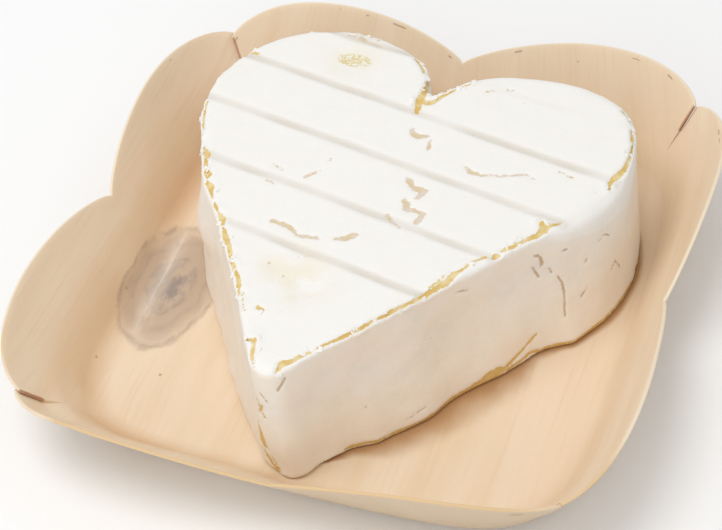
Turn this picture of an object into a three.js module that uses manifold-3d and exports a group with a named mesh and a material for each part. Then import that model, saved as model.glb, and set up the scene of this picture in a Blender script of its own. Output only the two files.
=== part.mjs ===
// A heart-shaped soft cheese resting in the small square tray of poplar veneer that it is sold in.
// Millimetres, +Z up. The origin is the middle of the tray's flat underside. The heart's axis lies
// along +Y, with its tip towards -Y, and the tray sits a few degrees turned beneath it.
import * as THREE from 'three';
import { mergeVertices } from 'three/addons/utils/BufferGeometryUtils.js';
import Module from 'manifold-3d';

const wasm = await Module();
wasm.setup();

// ---- driving dimensions: the cheese ----
const heartWidth = 100.4;      // across the two lobes, at the top
const heartLength = 101.5;     // from the tip to the top of a lobe
const cleftDepth = 17.9;       // from the top of a lobe down to where the two lobes meet
const tipRadius = 5;
const cleftRadius = 1.8;       // the mould's round at the bottom of the cleft
const cheeseThickness = 31.8;
const edgeRound = 2.6;         // round of the top and bottom edges
const baseSpread = 4;          // how far the soft flanks have sagged outwards at the base
const heartShift = -0.9;       // the middle of the heart's length, along Y from the tray's middle

// ---- driving dimensions: the marks of the draining rack ----
const rackPitch = 15.8;
const rackTurn = -8;           // degrees from the X axis
const rackFirst = 32.2;        // from the tip to the first mark, along the heart's axis
const rackRod = 3;             // diameter of the rod that left the mark
const rackDepth = 0.6;

// ---- driving dimensions: the tray ----
const veneer = 1.4;            // thickness of the sheet
const floorRoom = 0.2;         // flat floor left beyond the flat of the cheese's base, where it is tightest
const cornerPower = 5.4;       // squareness of the plan: 2 is a circle, more is squarer
const wallLean = 60;           // degrees between the floor and a wall
const creaseRadius = 6;        // bend between the floor and a wall, on the inside
const notchHeight = 15.8;      // rim above the floor at the notch in the middle of a wall
const cornerHeight = 18.7;     // rim above the floor at a corner's slit
const lobeRise = 6.2;          // how much a lobe of the rim stands over the line between those two
const lobePower = 0.75;        // less than 1 makes the notches between the lobes sharper
const slitWidth = 0.8;
const slitDepth = 10;          // down from the rim at a corner
const trayTurn = 5;            // degrees that the tray is turned under the cheese
const restGap = 0.3;           // clearance between the cheese and the floor of the tray

// ---- how finely the curved faces are divided ----
const traySegments = 96;       // a multiple of 8, so that every notch and slit has its own vertices
const creaseSteps = 5;
const wallSteps = 4;
const cheeseSteps = 12;
const arcSegments = 10;

const radians = THREE.MathUtils.degToRad;

// The geometry's shared vertices joined, as one solid.
function toSolid(geometry) {
  const bare = geometry.clone();
  bare.deleteAttribute('normal');
  bare.deleteAttribute('uv');
  const merged = mergeVertices(bare, 1e-4);
  return new wasm.Manifold(new wasm.Mesh({
    numProp: 3,
    vertProperties: merged.attributes.position.array,
    triVerts: new Uint32Array(merged.index.array),
  }));
}

function toGeometry(solid) {
  const { vertProperties, triVerts } = solid.getMesh();
  const geometry = new THREE.BufferGeometry();
  geometry.setAttribute('position', new THREE.BufferAttribute(vertProperties, 3));
  geometry.setIndex(new THREE.BufferAttribute(triVerts, 1));
  geometry.computeVertexNormals();
  return geometry;
}

// ---- the cheese ----

// The lobes are two circles that meet on the heart's axis at the cleft.
const lobeRadius = heartWidth / 2 + cleftDepth - Math.sqrt(heartWidth * cleftDepth);
const lobeX = heartWidth / 2 - lobeRadius;
const lobeY = heartShift + heartLength / 2 - lobeRadius;
const tipY = heartShift - heartLength / 2 + tipRadius;
const cheeseBase = veneer + restGap;
const cheeseTop = cheeseBase + cheeseThickness;

// The flank is the straight tangent of the tip's arc and the lobe's arc: this is its outward normal's
// angle below the X axis.
function flankAngle() {
  const betweenCentres = Math.hypot(lobeX, lobeY - tipY);
  return Math.atan2(lobeX, lobeY - tipY) + Math.asin((lobeRadius - tipRadius) / betweenCentres);
}

// The outline runs counter-clockwise: tip, right flank and lobe, cleft, left lobe and flank.
function heartOutline() {
  const flank = flankAngle();
  const cleftY = lobeY + Math.sqrt((lobeRadius + cleftRadius) ** 2 - lobeX ** 2);
  const cleft = Math.atan2(cleftY - lobeY, lobeX);
  const outline = new THREE.Shape();
  outline.absarc(0, tipY, tipRadius, flank - Math.PI, -flank, false);
  outline.absarc(lobeX, lobeY, lobeRadius, -flank, Math.PI - cleft, false);
  outline.absarc(0, cleftY, cleftRadius, -cleft, cleft - Math.PI, true);
  outline.absarc(-lobeX, lobeY, lobeRadius, cleft, Math.PI + flank, false);
  return outline;
}

// The outward normal at each point of a counter-clockwise outline.
function outwardNormals(points) {
  return points.map((point, i) => {
    const before = points[(i + points.length - 1) % points.length];
    const after = points[(i + 1) % points.length];
    const inArm = point.clone().sub(before).normalize();
    const outArm = after.clone().sub(point).normalize();
    const along = inArm.add(outArm);
    return new THREE.Vector2(along.y, -along.x).normalize();
  });
}

// How far the base has sagged outwards at a point with this outward normal: all the way on the
// flanks, about half of it on the tip and the lobes, and not at all in the cleft.
function baseSag(point, normal) {
  const turnFromFlank = Math.atan2(normal.y, Math.abs(normal.x)) + flankAngle();
  const share = 0.5 + 0.5 * Math.exp(-((turnFromFlank / 0.5) ** 2));
  const cleftFade = point.y > lobeY
    ? THREE.MathUtils.smoothstep(Math.abs(point.x), 0, lobeRadius)
    : 1;
  return baseSpread * share * cleftFade;
}

// How far the edges' rounding draws the side in at a height above the cheese's base.
function edgeInset(height) {
  const fromEdge = Math.min(height, cheeseThickness - height, edgeRound);
  return edgeRound - Math.sqrt(edgeRound ** 2 - (edgeRound - fromEdge) ** 2);
}

const heart = heartOutline();
const heartPoints = heart.extractPoints(arcSegments).shape;
const heartNormals = outwardNormals(heartPoints);

// The heart is extruded through one unit, and each vertex is then moved to its level's height, out
// by the sag and in by the edges' rounding.
function makeCheese() {
  const body = new THREE.ExtrudeGeometry(heart, {
    depth: 1, steps: cheeseSteps, bevelEnabled: false, curveSegments: arcSegments,
  });
  const position = body.attributes.position;
  const key = (x, y) => `${Math.fround(x)} ${Math.fround(y)}`;
  const indexAt = new Map(heartPoints.map((point, i) => [key(point.x, point.y), i]));
  for (let v = 0; v < position.count; v += 1) {
    const i = indexAt.get(key(position.getX(v), position.getY(v)));
    // levels crowd towards the two edges, where the side is round
    const height = cheeseThickness * (1 - Math.cos(Math.PI * position.getZ(v))) / 2;
    const lowness = 1 - height / cheeseThickness;
    const outwards = baseSag(heartPoints[i], heartNormals[i]) * lowness - edgeInset(height);
    const moved = heartPoints[i].clone().addScaledVector(heartNormals[i], outwards);
    position.setXYZ(v, moved.x, moved.y, cheeseBase + height);
  }
  return toSolid(body);
}

// One straight shallow mark across the top, left by a rod of the draining rack.
function makeRackMark(fromTip) {
  const length = 2 * (heartWidth + heartLength);
  const rod = new THREE.CylinderGeometry(rackRod / 2, rackRod / 2, length, 16);
  rod.rotateZ(Math.PI / 2 + radians(rackTurn));
  rod.translate(0, tipY - tipRadius + fromTip, cheeseTop + rackRod / 2 - rackDepth);
  return toSolid(rod);
}

function cheeseWithMarks() {
  let cheese = makeCheese();
  for (let fromTip = rackFirst; fromTip < heartLength; fromTip += rackPitch) {
    cheese = cheese.subtract(makeRackMark(fromTip));
  }
  return toGeometry(cheese);
}

// ---- the tray ----

// How far the plan reaches at this angle, as a multiple of its reach in the middle of a wall.
function planReach(angle) {
  const sum = Math.abs(Math.cos(angle)) ** cornerPower + Math.abs(Math.sin(angle)) ** cornerPower;
  return sum ** (-1 / cornerPower);
}

// The furthest that the cheese's base reaches in the turned tray, measured as in the middle of a wall.
function baseReach() {
  const reaches = heartPoints.map((point, i) => {
    const sagged = point.clone().addScaledVector(heartNormals[i], baseSag(point, heartNormals[i]));
    return sagged.length() / planReach(sagged.angle() - radians(trayTurn));
  });
  return Math.max(...reaches);
}

// The flat floor, from the middle to where the bend begins, holds the flat of the cheese's base; the
// planes of the floor and of a wall meet a little further out.
const flatHalf = baseReach() - edgeRound + floorRoom;
const floorHalf = flatHalf + creaseRadius * Math.tan(radians(wallLean) / 2);

// The height of the rim above the floor: two lobes on each wall, a notch between them, and a dip at
// the slit in each corner.
function rimHeight(angle) {
  const base = notchHeight + (cornerHeight - notchHeight) * Math.sin(2 * angle) ** 2;
  return base + lobeRise * Math.abs(Math.sin(4 * angle)) ** lobePower;
}

// The section of the inner face in the middle of a wall, from the flat floor over the bend and up to
// the rim: `along` is 0 at the middle of the floor, 1 to 2 over the bend and 2 to 3 up the wall.
function sectionPoint(along, rim) {
  const lean = radians(wallLean);
  if (along <= 1) {
    return { reach: flatHalf * along, height: 0, slope: 0 };
  }
  if (along <= 2) {
    const slope = lean * (along - 1);
    return {
      reach: flatHalf + creaseRadius * Math.sin(slope),
      height: creaseRadius * (1 - Math.cos(slope)),
      slope,
    };
  }
  const bendTop = creaseRadius * (1 - Math.cos(lean));
  const height = bendTop + (rim - bendTop) * (along - 2);
  return { reach: floorHalf + height / Math.tan(lean), height, slope: lean };
}

// A flat round sheet of veneer, in rings numbered as sectionPoint's `along`: its upper face at 0 and
// its under face at -1. It is pressed into the dish vertex by vertex.
function makeBlank() {
  const rings = [0, 1];
  for (let i = 1; i <= creaseSteps; i += 1) {
    rings.push(1 + i / creaseSteps);
  }
  for (let i = 1; i <= wallSteps; i += 1) {
    rings.push(2 + i / wallSteps);
  }
  const underFace = rings.map((along) => new THREE.Vector2(along, -1));
  const upperFace = rings.map((along) => new THREE.Vector2(along, 0)).reverse();
  const blank = new THREE.LatheGeometry([...underFace, ...upperFace], traySegments);
  blank.rotateX(Math.PI / 2);
  return blank;
}

function pressIntoDish(blank) {
  const position = blank.attributes.position;
  for (let v = 0; v < position.count; v += 1) {
    const x = position.getX(v);
    const y = position.getY(v);
    const angle = Math.atan2(y, x);
    const onUnderFace = position.getZ(v) < -0.5;
    const section = sectionPoint(Math.hypot(x, y), rimHeight(angle));
    const offset = onUnderFace ? veneer : 0;
    const reach = (section.reach + offset * Math.sin(section.slope)) * planReach(angle);
    position.setXYZ(
      v,
      reach * Math.cos(angle),
      reach * Math.sin(angle),
      veneer + section.height - offset * Math.cos(section.slope),
    );
  }
  return blank;
}

// A thin blade standing across one corner's wall.
function makeSlit(corner) {
  const inner = floorHalf * planReach(corner) - creaseRadius;
  const outer = 2 * inner;
  const top = 2 * (veneer + cornerHeight);
  const bottom = veneer + cornerHeight - slitDepth;
  const blade = new THREE.BoxGeometry(outer - inner, slitWidth, top - bottom);
  blade.translate((inner + outer) / 2, 0, (bottom + top) / 2);
  blade.rotateZ(corner);
  return toSolid(blade);
}

function makeTray() {
  let tray = toSolid(pressIntoDish(makeBlank()));
  for (let i = 0; i < 4; i += 1) {
    tray = tray.subtract(makeSlit(Math.PI / 4 + i * Math.PI / 2));
  }
  return toGeometry(tray);
}

// ---- the scene graph ----

const rind = new THREE.MeshStandardMaterial({ color: 0xf1ece1, roughness: 0.85, metalness: 0 });
const poplar = new THREE.MeshStandardMaterial({ color: 0xe2c49c, roughness: 0.65, metalness: 0 });

const cheese = new THREE.Mesh(cheeseWithMarks(), rind);
cheese.name = 'cheese';

const tray = new THREE.Mesh(makeTray(), poplar);
tray.name = 'veneer_tray';
tray.rotation.z = radians(trayTurn);

const cheeseInTray = new THREE.Group();
cheeseInTray.add(cheese, tray);

export default cheeseInTray;
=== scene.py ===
# A heart-shaped soft cheese in its tray of pressed poplar veneer.
# Metres, +Z up, the tray's flat underside on the floor.
import math
import bmesh
import bpy
import numpy as np
from mathutils import Matrix, Vector, noise


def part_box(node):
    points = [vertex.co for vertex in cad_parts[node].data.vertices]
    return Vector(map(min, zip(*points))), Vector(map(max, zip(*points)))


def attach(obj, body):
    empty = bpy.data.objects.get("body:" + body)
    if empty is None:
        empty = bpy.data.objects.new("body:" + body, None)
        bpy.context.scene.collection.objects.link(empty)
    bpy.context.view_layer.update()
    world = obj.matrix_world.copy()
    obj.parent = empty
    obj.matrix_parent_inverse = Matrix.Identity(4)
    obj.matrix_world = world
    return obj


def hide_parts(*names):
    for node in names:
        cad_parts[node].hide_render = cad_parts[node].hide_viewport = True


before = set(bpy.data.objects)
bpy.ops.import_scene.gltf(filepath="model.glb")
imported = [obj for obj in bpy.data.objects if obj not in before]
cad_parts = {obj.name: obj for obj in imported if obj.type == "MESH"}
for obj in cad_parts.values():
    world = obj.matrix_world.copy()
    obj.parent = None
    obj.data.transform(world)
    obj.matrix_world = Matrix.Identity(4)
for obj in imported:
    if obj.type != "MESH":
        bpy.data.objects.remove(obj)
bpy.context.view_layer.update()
mm = 0.001

cameraLook = {
    "target": (7.3 * mm, -19.2 * mm, 34 * mm),
    "azimuth": 30.7,      # degrees round from the front, towards the right
    "elevation": 46.3,
    "roll": -8.6,
    "distance": 0.3993,
    "lens": 96.0,
}


def makeCamera(look):
    azimuth, elevation = math.radians(look["azimuth"]), math.radians(look["elevation"])
    back = Vector((
        math.sin(azimuth) * math.cos(elevation),
        -math.cos(azimuth) * math.cos(elevation),
        math.sin(elevation),
    ))
    right = (-back).cross(Vector((0, 0, 1))).normalized()
    up = right.cross(-back)
    roll = math.radians(look["roll"])
    tiltedRight = right * math.cos(roll) + up * math.sin(roll)
    tiltedUp = up * math.cos(roll) - right * math.sin(roll)
    place = Matrix((tiltedRight, tiltedUp, back)).transposed().to_4x4()
    place.translation = Vector(look["target"]) + back * look["distance"]
    data = bpy.data.cameras.new("camera")
    data.lens = look["lens"]
    data.sensor_width = 36
    data.clip_start = 0.01
    camera = bpy.data.objects.new("camera", data)
    camera.matrix_world = place
    bpy.context.scene.collection.objects.link(camera)
    bpy.context.scene.camera = camera


lightLook = {
    "skyStrength": 0.66,
    "keyPlace": (-0.16, -0.14, 0.8),
    "keySize": 0.5,
    "keyPower": 2.45,
    "fillPlace": (0.05, -0.8, 0.35),
    "fillSize": 0.6,
    "fillPower": 1.0,
}


def makeAreaLight(name, place, size, power):
    data = bpy.data.lights.new(name, "AREA")
    data.shape = "DISK"
    data.size = size
    data.energy = power
    light = bpy.data.objects.new(name, data)
    light.location = place
    light.rotation_mode = "QUATERNION"
    light.rotation_quaternion = (-Vector(place)).to_track_quat("-Z", "Y")
    bpy.context.scene.collection.objects.link(light)


def makeStudio(look):
    world = bpy.data.worlds.new("studio")
    world.use_nodes = True
    sky = world.node_tree.nodes["Background"]
    sky.inputs["Color"].default_value = (1, 1, 1, 1)
    sky.inputs["Strength"].default_value = look["skyStrength"]
    bpy.context.scene.world = world
    bpy.context.scene.view_settings.view_transform = "Standard"
    makeAreaLight("keyLight", look["keyPlace"], look["keySize"], look["keyPower"])
    makeAreaLight("fillLight", look["fillPlace"], look["fillSize"], look["fillPower"])


floorLook = {
    "half": 1.5,
    "white": (0.95, 0.95, 0.95, 1),
    "roughness": 0.9,
}


def makeFloor(look):
    half = look["half"]
    corners = [(-half, -half, 0), (half, -half, 0), (half, half, 0), (-half, half, 0)]
    mesh = bpy.data.meshes.new("floor")
    mesh.from_pydata(corners, [], [(0, 1, 2, 3)])
    floor = bpy.data.objects.new("floor", mesh)
    bpy.context.scene.collection.objects.link(floor)
    paper = bpy.data.materials.new("whitePaper")
    paper.use_nodes = True
    shader = paper.node_tree.nodes["Principled BSDF"]
    shader.inputs["Base Color"].default_value = look["white"]
    shader.inputs["Roughness"].default_value = look["roughness"]
    mesh.materials.append(paper)


makeCamera(cameraLook)
makeStudio(lightLook)
makeFloor(floorLook)
print("camera, light and floor made")


def linkMesh(name, mesh):
    piece = bpy.data.objects.new(name, mesh)
    bpy.context.scene.collection.objects.link(piece)
    return piece


def bakeModifiers(piece):
    # the evaluated object becomes the piece's own plain mesh
    evaluated = piece.evaluated_get(bpy.context.evaluated_depsgraph_get())
    plain = bpy.data.meshes.new_from_object(evaluated)
    piece.modifiers.clear()
    piece.data = plain


def vertexArray(mesh):
    flat = np.empty(len(mesh.vertices) * 3, dtype=np.float32)
    mesh.vertices.foreach_get("co", flat)
    return flat.reshape(-1, 3).astype(float)


def normalArray(mesh):
    flat = np.empty(len(mesh.vertices) * 3, dtype=np.float32)
    mesh.vertex_normals.foreach_get("vector", flat)
    return flat.reshape(-1, 3).astype(float)


def storeFloats(mesh, name, values):
    layer = mesh.attributes.new(name, "FLOAT", "POINT")
    layer.data.foreach_set("value", np.asarray(values, dtype=np.float32))


def noiseAt(points, size, seed):
    # smooth noise, about -1 to 1, that varies over `size` metres
    shift = np.array([seed * 7.31, seed * 3.77, seed * 5.19])
    return np.array([noise.noise(p) for p in (points / size + shift).tolist()])


def smooth(low, high, value):
    t = np.clip((value - low) / (high - low), 0, 1)
    return t * t * (3 - 2 * t)


class Wire:
    # a number in a node tree: arithmetic on it adds Math nodes
    def __init__(self, tree, socket):
        self.tree = tree
        self.socket = socket

    def math(self, operation, *others):
        node = self.tree.nodes.new("ShaderNodeMath")
        node.operation = operation
        for place, value in enumerate((self,) + others):
            plug(self.tree, value, node.inputs[place])
        return Wire(self.tree, node.outputs[0])

    def __add__(self, other):
        return self.math("ADD", other)

    def __sub__(self, other):
        return self.math("SUBTRACT", other)

    def __mul__(self, other):
        return self.math("MULTIPLY", other)

    def __truediv__(self, other):
        return self.math("DIVIDE", other)

    def clamped(self):
        # held between 0 and 1
        return self.math("MAXIMUM", 0).math("MINIMUM", 1)

    def eased(self, low, high):
        # 0 below low, 1 above high, smooth between
        node = self.tree.nodes.new("ShaderNodeMapRange")
        node.interpolation_type = "SMOOTHSTEP"
        plug(self.tree, self, node.inputs["Value"])
        node.inputs["From Min"].default_value = low
        node.inputs["From Max"].default_value = high
        return Wire(self.tree, node.outputs["Result"])


def plug(tree, value, socket):
    if isinstance(value, Wire):
        tree.links.new(value.socket, socket)
    elif value is not None:
        socket.default_value = value


# the tray
trayShape = {
    "turn": 5,                  # degrees under the cheese
    "veneer": 1.4 * mm,         # thickness
    "rimShare": 0.5,            # of the veneer's thickness that is left at the rim
    "taper": 20 * mm,           # and how far down from the rim the thinning starts
    "flatHalf": 52.1 * mm,
    "creaseRadius": 6 * mm,
    "cornerPower": 5.4,
    "lobePower": 0.75,
    "slitBase": 8.7 * mm,       # height over the tray's floor at which the flaps part
    "slitOpening": 4 * mm,      # and the height over which they part fully
    "slitEnd": 20 * mm,         # added below the slit's base, where the painted shade along its edge ends
    "lapZone": (0.72, 0.98),    # where along half a wall a flap starts and stops leaving the line
    "pastZone": (0.8, 1),       # and where it starts to run past its slit
    "lapDrop": 0.7,             # how far an outward flap sinks, as a share of its lap
    "waviness": 0.9 * mm,
    "rippleScale": 28,          # to the metre
    "floorLift": 0.15 * mm,     # the most that a ripple lifts the sheet
    "edgeRound": 0.15 * mm,
    "mergeWithin": 0.01 * mm,
    "alongSteps": 112,
    "upSteps": 48,
}

# the four corners, counter-clockwise from the one at the back right: lean in degrees, and the
# rim's height over the tray's floor in mm
trayCorners = ((59.6, 18.5), (64, 19.3), (60.8, 18.3), (62, 18.8))

# each wall from its first corner to its second: the lean and height at its notch, the rise of its
# two lobes, how far in mm its two flaps stand out of line at the slits, how many degrees they run
# past them, and how far in mm its two lobes bulge outwards at the rim and stand inwards at the floor
trayWalls = (
    {"name": "right", "turn": 0, "notch": (61.6, 16.2), "rises": (6.0, 6.4), "laps": (0.2, 0.1),
     "past": (-0.15, -0.15), "bulges": (0, 0), "insets": (0, 0)},
    {"name": "back", "turn": 90, "notch": (57.6, 14.8), "rises": (6.0, 7.0), "laps": (-0.1, -0.5),
     "past": (-0.15, -0.1), "bulges": (0, 0), "insets": (0, 0)},
    {"name": "left", "turn": 180, "notch": (65, 17.6), "rises": (6.2, 6.5), "laps": (0.5, 0.6),
     "past": (1.0, 0.2), "bulges": (0, 0.6), "insets": (0, 0)},
    {"name": "front", "turn": 270, "notch": (55, 13.8), "rises": (3.0, 5.4), "laps": (1.3, 0.4),
     "past": (1.0, 0.4), "bulges": (1.8, -2.2), "insets": (2.0, 0)},
)


def nodeNumber(tree, name, default):
    # a named input of the tree
    item = tree.interface.new_socket(name, in_out="INPUT", socket_type="NodeSocketFloat")
    item.default_value = default


def combine(tree, x, y, z):
    node = tree.nodes.new("ShaderNodeCombineXYZ")
    for place, value in enumerate((x, y, z)):
        plug(tree, value, node.inputs[place])
    return node.outputs[0]


def storeField(tree, geometry, name, dataType, field):
    node = tree.nodes.new("GeometryNodeStoreNamedAttribute")
    node.data_type = dataType
    node.inputs["Name"].default_value = name
    tree.links.new(geometry, node.inputs["Geometry"])
    value = next(socket for socket in node.inputs if socket.name == "Value" and socket.enabled)
    tree.links.new(field, value)
    return node.outputs["Geometry"]


def wallValues(shape, wall, first, second):
    # what the wall's tree is given: first and second are the wall's two corners
    return {
        "flat half": shape["flatHalf"],
        "crease radius": shape["creaseRadius"],
        "corner power": shape["cornerPower"],
        "lobe power": shape["lobePower"],
        "turn": math.radians(wall["turn"] + shape["turn"]),
        "first lean": math.radians(first[0]),
        "notch lean": math.radians(wall["notch"][0]),
        "second lean": math.radians(second[0]),
        "first height": first[1] * mm,
        "notch height": wall["notch"][1] * mm,
        "second height": second[1] * mm,
        "first rise": wall["rises"][0] * mm,
        "second rise": wall["rises"][1] * mm,
        "first lap": wall["laps"][0] * mm,
        "second lap": wall["laps"][1] * mm,
        "first past": math.radians(wall["past"][0]),
        "second past": math.radians(wall["past"][1]),
        "first bulge": wall["bulges"][0] * mm,
        "second bulge": wall["bulges"][1] * mm,
        "first inset": wall["insets"][0] * mm,
        "second inset": wall["insets"][1] * mm,
        "slit base": shape["slitBase"],
        "waviness": shape["waviness"],
        "floor height": shape["veneer"],
    }


def makeWallTree(shape, values):
    # a quarter of the sheet: flat floor, bend, and one wall with its two lobes
    tree = bpy.data.node_groups.new("pressedWall", "GeometryNodeTree")
    tree.interface.new_socket("Geometry", in_out="OUTPUT", socket_type="NodeSocketGeometry")
    for name, value in values.items():
        nodeNumber(tree, name, value)
    given = tree.nodes.new("NodeGroupInput")
    take = {name: Wire(tree, given.outputs[name]) for name in values}

    grid = tree.nodes.new("GeometryNodeMeshGrid")
    grid.inputs["Size X"].default_value = 2
    grid.inputs["Size Y"].default_value = 3
    grid.inputs["Vertices X"].default_value = shape["alongSteps"] + 1
    grid.inputs["Vertices Y"].default_value = shape["upSteps"] + 1
    place = tree.nodes.new("GeometryNodeInputPosition")
    split = tree.nodes.new("ShaderNodeSeparateXYZ")
    tree.links.new(place.outputs[0], split.inputs[0])
    across = Wire(tree, split.outputs["X"])           # -1 at the first corner, 1 at the second
    level = Wire(tree, split.outputs["Y"]) + 1.5      # 0 to 1 floor, to 2 bend, to 3 wall
    angle = across * (math.pi / 4)
    isSecond = across.math("GREATER_THAN", 0)

    def atCorner(first, second):
        return take[first] + (take[second] - take[first]) * isSecond

    toCorner = (angle * 2).math("SINE").math("POWER", 2)
    lean = take["notch lean"] + (atCorner("first lean", "second lean") - take["notch lean"]) * toCorner
    rim = take["notch height"]
    rim = rim + (atCorner("first height", "second height") - take["notch height"]) * toCorner
    lobe = (angle * 4).math("SINE").math("ABSOLUTE").math("POWER", take["lobe power"])
    rim = rim + atCorner("first rise", "second rise") * lobe

    slope = (level - 1).clamped() * lean
    radius = take["crease radius"]
    bendTop = radius * (lean.math("COSINE") * -1 + 1)
    upWall = (level - 2).clamped() * (rim - bendTop)
    height = radius * (slope.math("COSINE") * -1 + 1) + upWall
    reach = take["flat half"] * level.clamped() + radius * slope.math("SINE")
    bulge = atCorner("first bulge", "second bulge") * lobe * (level - 2).clamped()
    reach = reach + upWall / lean.math("TANGENT") + bulge
    reach = reach - atCorner("first inset", "second inset") * lobe * level.clamped()
    unrolled = take["flat half"] * level.clamped() + radius * slope + upWall / lean.math("SINE")

    nearCorner = across.math("ABSOLUTE").eased(*shape["lapZone"])
    above = ((height - take["slit base"]) / shape["slitOpening"]).clamped()
    lap = atCorner("first lap", "second lap") * above * nearCorner
    reach = reach + lap
    height = height - lap.math("MAXIMUM", 0) * shape["lapDrop"]
    pastCorner = across.math("ABSOLUTE").eased(*shape["pastZone"]) * atCorner("first past", "second past")
    angle = angle + pastCorner * above * across.math("SIGN")

    def reachAt(turned):
        power = take["corner power"]
        total = turned.math("COSINE").math("ABSOLUTE").math("POWER", power)
        total = total + turned.math("SINE").math("ABSOLUTE").math("POWER", power)
        return total.math("POWER", power.math("POWER", -1) * -1)

    widen = reachAt(angle)
    heading = angle + take["turn"]
    cosine, sine = heading.math("COSINE"), heading.math("SINE")

    # the sheet is never quite flat: its walls wander a little, its floor hardly
    ripple = tree.nodes.new("ShaderNodeTexNoise")
    ripple.inputs["Scale"].default_value = shape["rippleScale"]
    ripple.inputs["Detail"].default_value = 1
    tree.links.new(combine(tree, reach * cosine, reach * sine, height), ripple.inputs["Vector"])
    wander = (Wire(tree, ripple.outputs[0]) - 0.5) * take["waviness"] * level.eased(1, 3)
    reach = (reach + wander) * widen
    lift = Wire(tree, ripple.outputs[0]) * shape["floorLift"]
    position = combine(tree, reach * cosine, reach * sine, height + take["floor height"] + lift)

    # what the finish needs is stored before the grid is moved, while its own places still count
    sheet = combine(tree, unrolled * widen * cosine, unrolled * widen * sine, 0.0)
    fromRim = ((rim - height) / lean.math("SINE")).socket
    geometry = storeField(tree, grid.outputs["Mesh"], "sheet", "FLOAT_VECTOR", sheet)
    geometry = storeField(tree, geometry, "fromRim", "FLOAT", fromRim)
    # distance from each slit, for the painted shadow in its gap
    fromCorner = (across.math("ABSOLUTE") * -1 + 1) * (math.pi / 4) * reach
    fromSlit = (fromCorner + (above * -1 + 1) * shape["slitEnd"]).socket
    geometry = storeField(tree, geometry, "fromSlit", "FLOAT", fromSlit)
    bent = (level - 1).clamped() * (level * -1 + 2.6).clamped() * 2     # painted crease shade, most in the middle of the bend
    geometry = storeField(tree, geometry, "bent", "FLOAT", bent.socket)
    shaped = tree.nodes.new("GeometryNodeSetPosition")
    tree.links.new(geometry, shaped.inputs["Geometry"])
    tree.links.new(position, shaped.inputs["Position"])
    geometry = shaped.outputs[0]
    finish = tree.nodes.new("GeometryNodeSetMaterial")
    finish.inputs["Material"].default_value = bpy.data.materials["poplarVeneer"]
    whole = tree.nodes.new("GeometryNodeRealizeInstances")
    tree.links.new(geometry, whole.inputs[0])
    tree.links.new(whole.outputs[0], finish.inputs["Geometry"])
    result = tree.nodes.new("NodeGroupOutput")
    tree.links.new(finish.outputs[0], result.inputs[0])
    return tree


def setInputs(modifier, values):
    for item in modifier.node_group.interface.items_tree:
        if item.in_out == "INPUT" and item.name in values:
            modifier[item.identifier] = float(values[item.name])


def makeTray(shape, walls):
    values = [wallValues(shape, wall, trayCorners[i - 1], trayCorners[i]) for i, wall in enumerate(walls)]
    tree = makeWallTree(shape, values[0])
    quarters = []
    for wall, given in zip(walls, values):
        quarter = linkMesh(wall["name"] + "Wall", bpy.data.meshes.new(wall["name"] + "Wall"))
        modifier = quarter.modifiers.new("press", "NODES")
        modifier.node_group = tree
        setInputs(modifier, given)
        bakeModifiers(quarter)
        quarters.append(quarter)
    tray = quarters[0]
    with bpy.context.temp_override(active_object=tray, selected_editable_objects=quarters):
        bpy.ops.object.join()
    tray.name = "veneerTray"
    joined = bmesh.new()
    joined.from_mesh(tray.data)
    bmesh.ops.remove_doubles(joined, verts=joined.verts, dist=shape["mergeWithin"])
    for face in joined.faces:
        face.smooth = True
        if face.normal.z < 0:
            face.normal_flip()
    joined.to_mesh(tray.data)
    joined.free()
    fromRim = np.empty(len(tray.data.vertices), dtype=np.float32)
    tray.data.attributes["fromRim"].data.foreach_get("value", fromRim)
    shares = shape["rimShare"] + (1 - shape["rimShare"]) * smooth(0, shape["taper"], fromRim)
    group = tray.vertex_groups.new(name="thickness")
    for i, share in enumerate(shares.tolist()):
        group.add([i], share, "REPLACE")
    solid = tray.modifiers.new("thickness", "SOLIDIFY")
    solid.thickness = shape["veneer"]
    solid.offset = -1
    solid.vertex_group = group.name
    edge = tray.modifiers.new("edges", "BEVEL")
    edge.width = shape["edgeRound"]
    edge.segments = 2
    edge.limit_method = "ANGLE"
    edge.angle_limit = math.radians(55)
    bakeModifiers(tray)
    tray.data.materials.clear()
    tray.data.materials.append(bpy.data.materials["poplarVeneer"])
    slots = np.zeros(len(tray.data.polygons), dtype=np.int32)
    tray.data.polygons.foreach_set("material_index", slots)
    return tray


# the cheese
cheeseShape = {
    "middleY": -0.9 * mm,
    "width": 100.4 * mm,
    "length": 101.5 * mm,
    "cleftDepth": 17.9 * mm,
    "tipRadius": 5 * mm,
    "cleftRadius": 1.8 * mm,
    "baseRound": 0.7 * mm,
    "sagPower": 1.3,            # how quickly the foot's spread ends upwards
    "footWander": 0.3 * mm,
    "footWanderSize": 5 * mm,
    "voxel": 0.58 * mm,
    "outlineSteps": 640,
    "levels": 40,
}

# the top edge's round in mm at places along the outline, measured from the tip: + is to the right
edgeRounds = (
    (-163, 1.6), (-140, 2.2), (-100, 2.4), (-75, 1.6), (-40, 1.2), (-12, 1.4), (0, 2.4), (10, 1.3),
    (40, 1.2), (66, 1.4), (74, 3.6), (84, 3.4), (92, 1.8), (110, 2.0), (140, 2.4), (163, 1.6),
)

# how far in mm the foot stands out from the top's outline, at the same kind of places
footOffsets = (
    (-163, 0), (-150, 0.8), (-125, 1.2), (-100, 3), (-84, 4.2), (-72, 4.6), (-58, 5.2), (-49, 5.2),
    (-30, 5), (-16, 3.3), (-7, 1.8), (-2, 1.3), (0, 1.8), (2, 2.9), (4, 2.7), (8, 2), (15, 2.3),
    (21, 4.4), (26, 4.8), (33, 5.1), (38, 4.5), (42, 3.8), (52, 4), (57, 3.2), (61, 2.5), (64, 3.2),
    (70, 5.4), (79, 4.2), (88, 2.4), (99, 1), (125, 1), (150, 0.8), (163, 0),
)

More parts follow.
